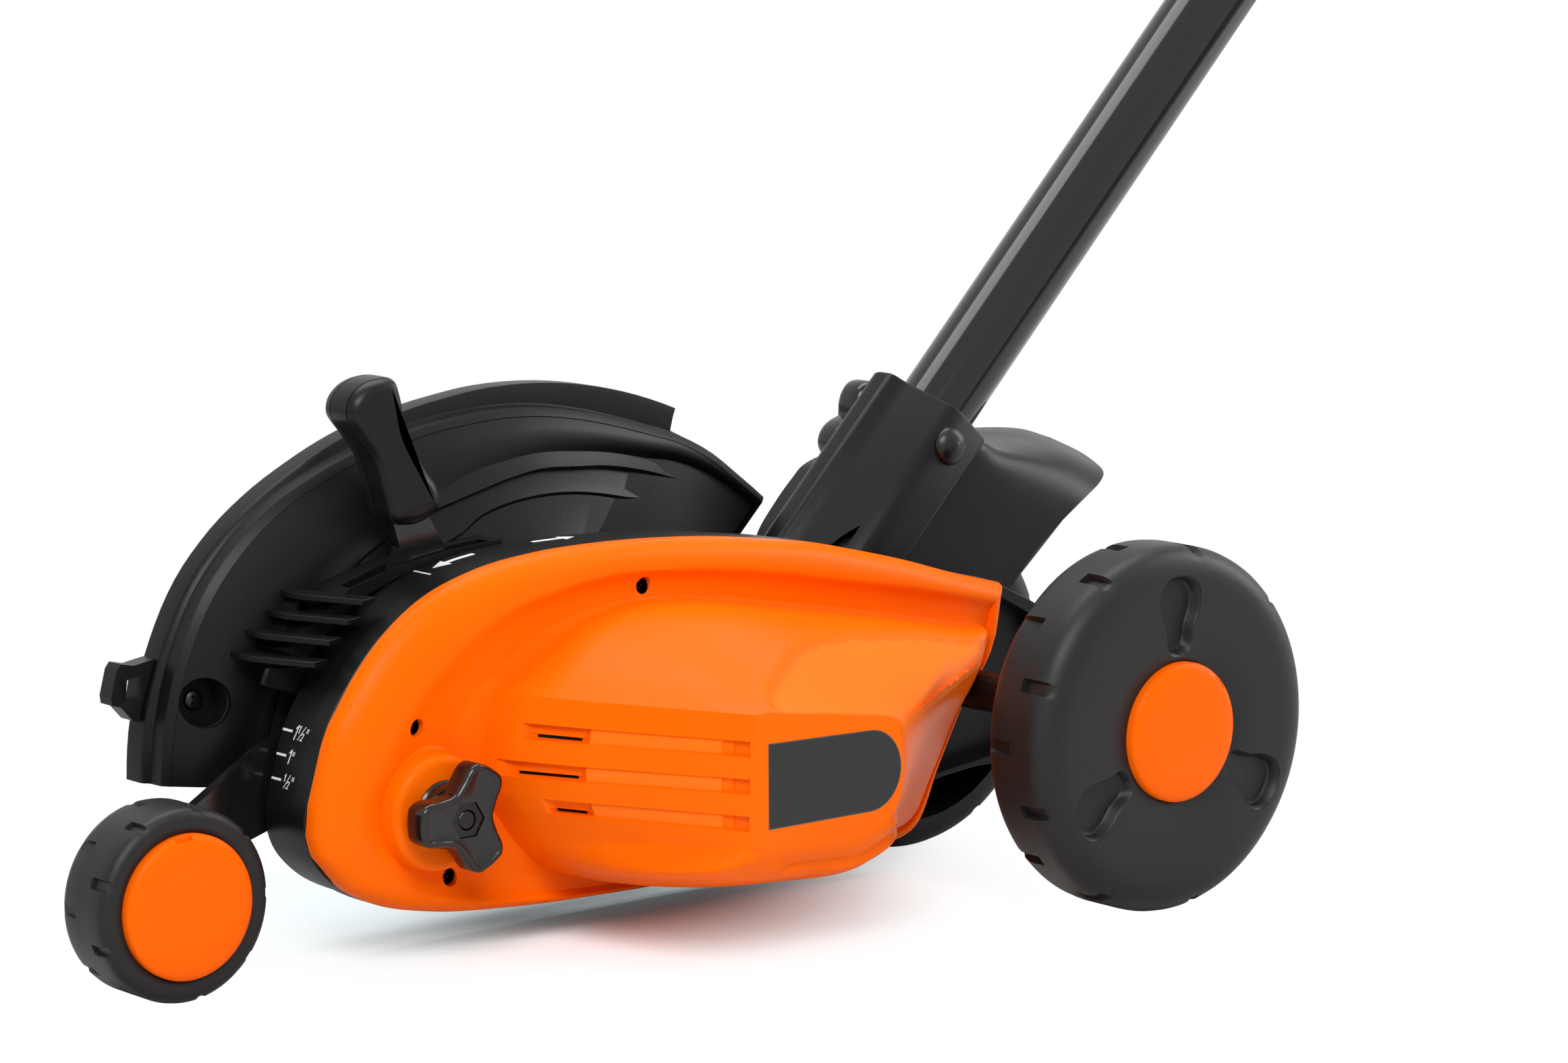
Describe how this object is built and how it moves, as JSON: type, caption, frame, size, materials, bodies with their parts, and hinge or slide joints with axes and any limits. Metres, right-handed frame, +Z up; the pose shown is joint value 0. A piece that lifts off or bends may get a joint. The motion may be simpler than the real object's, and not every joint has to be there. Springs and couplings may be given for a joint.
{
  "type": "electric lawn edger",
  "caption": "Walk-behind electric lawn edger: orange motor cover on a black gear housing, blade guard, wheels, depth lever and long leaning handle.",
  "frame": {"origin": "middle of the footprint on the ground, below the middle of the bounding box", "axes": "+X from the front wheel to the rear and the handle, +Y from the motor side to the blade side, +Z up"},
  "size_m": [1.231, 0.249, 0.9856],
  "materials": {
    "orange_plastic": "satin",
    "black_paint": "gloss",
    "soft_grip": "matt",
    "laminated_iron": "matt",
    "copper_alloy": "satin",
    "zinc_steel": "satin",
    "steel": "satin",
    "black_plastic": "satin"
  },
  "bodies": {
    "frame": {"motor_cover": "orange_plastic", "gear_housing": "black_plastic", "front_grille": "black_plastic", "blade_guard": "black_plastic", "rear_axle": "zinc_steel", "axle_nut_near": "zinc_steel", "axle_nut_far": "zinc_steel", "axle_carrier": "black_plastic", "lock_bolt": "zinc_steel", "spindle_bearing_1": "steel", "spindle_bearing_2": "steel", "motor_plate": "steel", "motor_bearing_far": "steel", "motor_bearing_near": "steel", "stator": "laminated_iron", "end_bracket": "black_plastic", "brush_holder_upper": "copper_alloy", "brush_holder_lower": "copper_alloy", "tube_socket": "black_plastic", "socket_bolt": "zinc_steel", "debris_flap": "black_plastic", "lower_tube": "black_paint", "upper_tube": "black_paint", "tube_sleeve": "black_plastic", "handle_shell_near": "black_plastic", "handle_shell_far": "black_plastic", "trigger_pin": "steel", "switch_module": "black_plastic", "power_inlet": "black_plastic", "aux_clamp_ring": "black_plastic", "aux_bolt": "zinc_steel"},
    "near_wheel": {"rear_wheel_near": "black_plastic", "rear_cap_near": "orange_plastic"},
    "far_wheel": {"rear_wheel_far": "black_plastic", "rear_cap_far": "orange_plastic"},
    "front_wheel": {"front_wheel": "black_plastic", "front_cap": "orange_plastic"},
    "depth_lever": {"depth_plate": "black_paint", "depth_lever_grip": "soft_grip", "front_axle_bolt": "zinc_steel", "front_axle_nut": "zinc_steel"},
    "lock_knob": {"lock_knob": "black_plastic", "lock_nut": "zinc_steel"},
    "blade_drive": {"blade_spindle": "steel", "spindle_gear": "steel", "blade": "steel", "blade_flange": "steel", "blade_nut": "zinc_steel"},
    "rotor": {"armature_shaft": "steel", "armature_core": "laminated_iron", "commutator": "copper_alloy", "cooling_fan": "black_plastic", "motor_pinion": "steel"},
    "socket_knob": {"socket_knob": "black_plastic"},
    "trigger": {"trigger": "orange_plastic"},
    "lock_off_button": {"lock_off_button": "orange_plastic"},
    "aux_handle": {"aux_handle": "soft_grip"},
    "aux_knob": {"aux_knob": "black_plastic"}
  },
  "joints": [
    {"name": "near_wheel_spin", "type": "hinge", "parent": "frame", "child": "near_wheel", "pos_m": [-0.19232, -0.10045, 0.075], "axis": [0, 1, 0], "continuous": true},
    {"name": "far_wheel_spin", "type": "hinge", "parent": "frame", "child": "far_wheel", "pos_m": [-0.19232, 0.05755, 0.075], "axis": [0, 1, 0], "continuous": true},
    {"name": "depth_pivot", "type": "hinge", "parent": "frame", "child": "depth_lever", "pos_m": [-0.47332, 0.05155, 0.062], "axis": [0, 1, 0], "range_deg": [-11, 11]},
    {"name": "front_wheel_spin", "type": "hinge", "parent": "depth_lever", "child": "front_wheel", "pos_m": [-0.57792, 0.03255, 0.0376], "axis": [0, 1, 0], "continuous": true},
    {"name": "lock_knob_turn", "type": "hinge", "parent": "frame", "child": "lock_knob", "pos_m": [-0.47332, -0.01045, 0.062], "axis": [0, 1, 0], "continuous": true},
    {"name": "blade_spin", "type": "hinge", "parent": "frame", "child": "blade_drive", "pos_m": [-0.39732, 0.05955, 0.07], "axis": [0, 1, 0], "continuous": true},
    {"name": "rotor_spin", "type": "hinge", "parent": "frame", "child": "rotor", "pos_m": [-0.35713, -0.03045, 0.07494], "axis": [0, 1, 0], "continuous": true},
    {"name": "socket_knob_turn", "type": "hinge", "parent": "frame", "child": "socket_knob", "pos_m": [-0.18249, 0.08755, 0.17483], "axis": [0, 1, 0], "continuous": true},
    {"name": "trigger_pull", "type": "hinge", "parent": "frame", "child": "trigger", "pos_m": [0.47385, 0.05355, 0.92684], "axis": [0, -1, 0], "range_deg": [0, 8], "stiffness_Nm_per_rad": 0.6, "springref_deg": -11.46},
    {"name": "lock_off_press", "type": "slide", "parent": "frame", "child": "lock_off_button", "axis": [0.7181, 0, -0.6959], "range_m": [0, 0.003], "stiffness_N_per_m": 400, "springref_m": -0.002},
    {"name": "aux_handle_tilt", "type": "hinge", "parent": "frame", "child": "aux_handle", "pos_m": [0.25506, 0.05355, 0.67377], "axis": [0, 1, 0], "range_deg": [-20, 20]},
    {"name": "aux_knob_turn", "type": "hinge", "parent": "frame", "child": "aux_knob", "pos_m": [0.25506, 0.08555, 0.67377], "axis": [0, 1, 0], "continuous": true}
  ],
  "couplings": [
    {"joint": "rotor_spin", "follows": "blade_spin", "ratio": -3.5}
  ]
}
